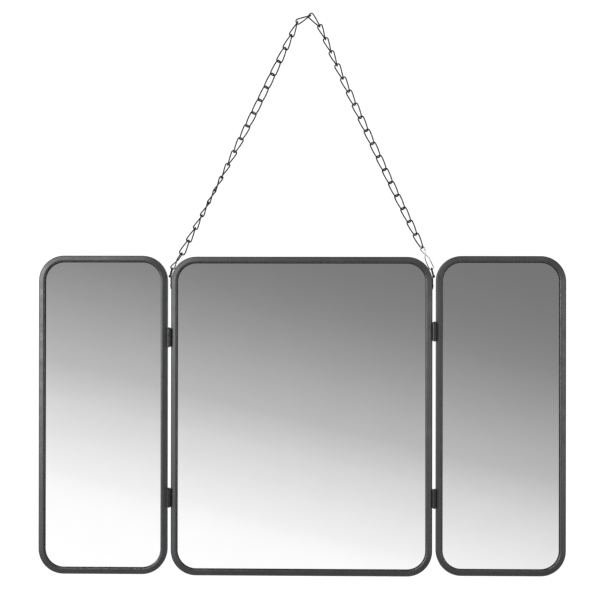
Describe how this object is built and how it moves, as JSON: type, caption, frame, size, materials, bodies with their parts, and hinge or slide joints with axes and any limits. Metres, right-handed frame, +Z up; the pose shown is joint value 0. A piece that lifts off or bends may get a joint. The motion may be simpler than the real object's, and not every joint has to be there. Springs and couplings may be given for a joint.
{
  "type": "trifold wall mirror",
  "caption": "Chain-hung trifold wall mirror in slim metal tube frames. Both wings fold over the wider centre panel on barrel hinges, and a twisted-link chain hangs it on a nail.",
  "frame": {"origin": "the joint of the two top chain links, where the chain lies over its wall nail", "axes": "+X to the viewer's right, +Y from the mirrors back towards the wall, +Z up"},
  "size_m": [0.75, 0.0194, 0.802],
  "materials": {
    "frame_paint": "satin dark grey",
    "mirror_glass": "silvered glass",
    "foam_tape": "closed-cell foam",
    "backboard": "brown hardboard",
    "zinc_steel": "zinc plated",
    "chain_black": "black oxide",
    "black_fittings": "satin black"
  },
  "bodies": {
    "chain": {"chain_left_run": "chain_black", "chain_right_run": "chain_black", "left_end_link": "chain_black", "right_end_link": "zinc_steel"},
    "centre": {"centre_frame": "frame_paint", "centre_glass": "mirror_glass", "centre_tape": "foam_tape", "centre_backboard": "backboard", "centre_lugs": "frame_paint", "centre_board_screws": "zinc_steel", "upper_left_fixed_leaf": "black_fittings", "upper_left_pin": "black_fittings", "lower_left_fixed_leaf": "black_fittings", "lower_left_pin": "black_fittings", "upper_right_fixed_leaf": "black_fittings", "upper_right_pin": "black_fittings", "lower_right_fixed_leaf": "black_fittings", "lower_right_pin": "black_fittings", "centre_leaf_screws": "black_fittings", "left_hanger_strap": "black_fittings", "left_d_ring": "black_fittings", "right_hanger_strap": "black_fittings", "right_d_ring": "black_fittings", "hanger_rivets": "black_fittings"},
    "left_wing": {"left_frame": "frame_paint", "left_glass": "mirror_glass", "left_tape": "foam_tape", "left_backboard": "backboard", "left_lugs": "frame_paint", "left_board_screws": "zinc_steel", "left_leaf_screws": "black_fittings", "upper_left_wing_leaf": "black_fittings", "lower_left_wing_leaf": "black_fittings"},
    "right_wing": {"right_frame": "frame_paint", "right_glass": "mirror_glass", "right_tape": "foam_tape", "right_backboard": "backboard", "right_lugs": "frame_paint", "right_board_screws": "zinc_steel", "right_leaf_screws": "black_fittings", "upper_right_wing_leaf": "black_fittings", "lower_right_wing_leaf": "black_fittings"}
  },
  "joints": [
    {"name": "mirror_tilt", "type": "hinge", "parent": "chain", "child": "centre", "pos_m": [-0.01235, 0, -0.3617], "axis": [1, 0, 0], "range_deg": [-30, 40]},
    {"name": "left_wing_fold", "type": "hinge", "parent": "centre", "child": "left_wing", "pos_m": [-0.20085, -0.00881, -0.5711], "axis": [0, 0, 1], "range_deg": [-8, 180]},
    {"name": "right_wing_fold", "type": "hinge", "parent": "centre", "child": "right_wing", "pos_m": [0.17615, -0.00881, -0.5711], "axis": [0, 0, -1], "range_deg": [-8, 180]}
  ]
}
